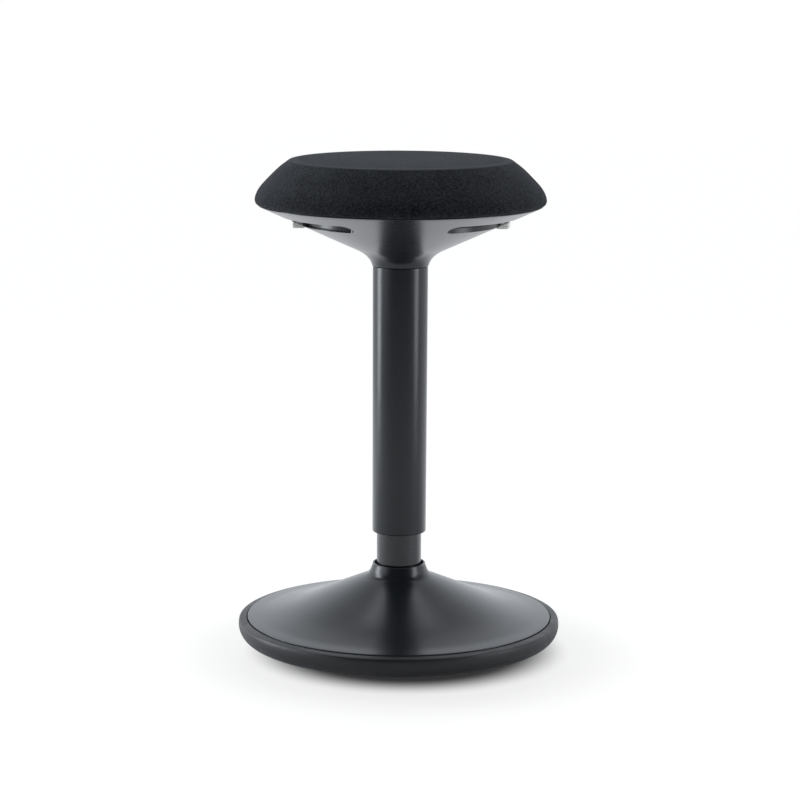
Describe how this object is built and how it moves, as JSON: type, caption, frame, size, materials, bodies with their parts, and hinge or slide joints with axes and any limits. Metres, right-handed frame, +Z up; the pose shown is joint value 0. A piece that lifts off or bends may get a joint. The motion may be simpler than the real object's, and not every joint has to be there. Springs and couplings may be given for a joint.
{
  "type": "wobble stool",
  "caption": "Height-adjustable wobble stool: weighted rocking base, telescoping gas spring column and a round padded seat with release levers in finger slots.",
  "frame": {"origin": "on the floor under the middle of the rocking base, where the flat foot rests", "axes": "+Z up along the column, -Y the front as pictured, +X to the right, towards one release paddle"},
  "size_m": [0.3612, 0.3612, 0.565],
  "materials": {
    "sole_rubber": "matte",
    "seal_rubber": "matte",
    "charcoal_plastic": "satin",
    "lever_plastic": "satin",
    "glide_plastic": "matte",
    "guide_plastic": "satin",
    "black_steel": "satin",
    "bright_steel": "polished",
    "zinc_steel": "zinc plated",
    "weight_iron": "rough",
    "cage_brass": "pressed",
    "piston_aluminium": "machined",
    "plywood": "raw",
    "foam": "open cell",
    "seat_fabric": "fine knit"
  },
  "bodies": {
    "base": {"rubber_sole": "sole_rubber", "base_pan": "black_steel", "counterweight": "weight_iron", "column_socket": "black_steel", "socket_bolt_1": "zinc_steel", "socket_bolt_2": "zinc_steel", "socket_bolt_3": "zinc_steel", "socket_bolt_4": "zinc_steel", "weight_bolt_1": "zinc_steel", "weight_bolt_2": "zinc_steel", "weight_bolt_3": "zinc_steel", "base_cover": "charcoal_plastic", "cover_screw_1": "zinc_steel", "cover_screw_2": "zinc_steel", "cover_screw_3": "zinc_steel", "cover_screw_4": "zinc_steel", "cover_screw_5": "zinc_steel", "cover_screw_6": "zinc_steel", "outer_tube": "black_steel", "guide_bushing": "guide_plastic", "bearing_lower_race": "bright_steel"},
    "bearing_cage": {"bearing_cage": "cage_brass"},
    "rod": {"bearing_upper_race": "bright_steel", "piston_rod": "bright_steel", "rod_washer": "zinc_steel", "retaining_clip": "black_steel", "rubber_buffer": "sole_rubber", "piston": "piston_aluminium", "piston_ring": "seal_rubber"},
    "seat": {"pressure_cylinder": "black_steel", "cylinder_seal": "seal_rubber", "sleeve": "charcoal_plastic", "glide_ring": "glide_plastic", "under_shell": "charcoal_plastic", "shell_screw_1": "zinc_steel", "shell_screw_2": "zinc_steel", "shell_screw_3": "zinc_steel", "shell_screw_4": "zinc_steel", "mechanism_bracket": "black_steel", "lever_pin_left": "bright_steel", "pin_clip_left": "zinc_steel", "lever_pin_right": "bright_steel", "pin_clip_right": "zinc_steel", "seat_board": "plywood", "tee_nut_1": "zinc_steel", "tee_nut_2": "zinc_steel", "tee_nut_3": "zinc_steel", "tee_nut_4": "zinc_steel", "bracket_bolt_1": "zinc_steel", "bracket_bolt_2": "zinc_steel", "bracket_bolt_3": "zinc_steel", "bracket_bolt_4": "zinc_steel", "foam_pad": "foam", "seat_cover": "seat_fabric"},
    "valve": {"valve_button": "bright_steel"},
    "lever_left": {"release_lever_left": "lever_plastic"},
    "lever_right": {"release_lever_right": "lever_plastic"}
  },
  "joints": [
    {"name": "seat_swivel", "type": "hinge", "parent": "base", "child": "rod", "pos_m": [0, 0, 0.0395], "axis": [0, 0, 1], "continuous": true},
    {"name": "cage_creep", "type": "hinge", "parent": "base", "child": "bearing_cage", "pos_m": [0, 0, 0.0355], "axis": [0, 0, 1], "continuous": true},
    {"name": "height_slide", "type": "slide", "parent": "rod", "child": "seat", "axis": [0, 0, 1], "range_m": [0, 0.2]},
    {"name": "release_left", "type": "hinge", "parent": "seat", "child": "lever_left", "pos_m": [-0.028, 0, 0.5], "axis": [0, 1, 0], "range_deg": [0, 5.5], "stiffness_Nm_per_rad": 1.5, "springref_deg": -2.86},
    {"name": "release_right", "type": "hinge", "parent": "seat", "child": "lever_right", "pos_m": [0.028, 0, 0.5], "axis": [0, -1, 0], "range_deg": [0, 5.6]},
    {"name": "valve_press", "type": "slide", "parent": "seat", "child": "valve", "axis": [0, 0, -1], "range_m": [0, 0.0028]}
  ],
  "couplings": [
    {"joint": "cage_creep", "follows": "seat_swivel", "ratio": 0.5},
    {"joint": "release_right", "follows": "release_left", "ratio": 1},
    {"joint": "valve_press", "follows": "release_left", "m_per_rad": 0.028}
  ]
}
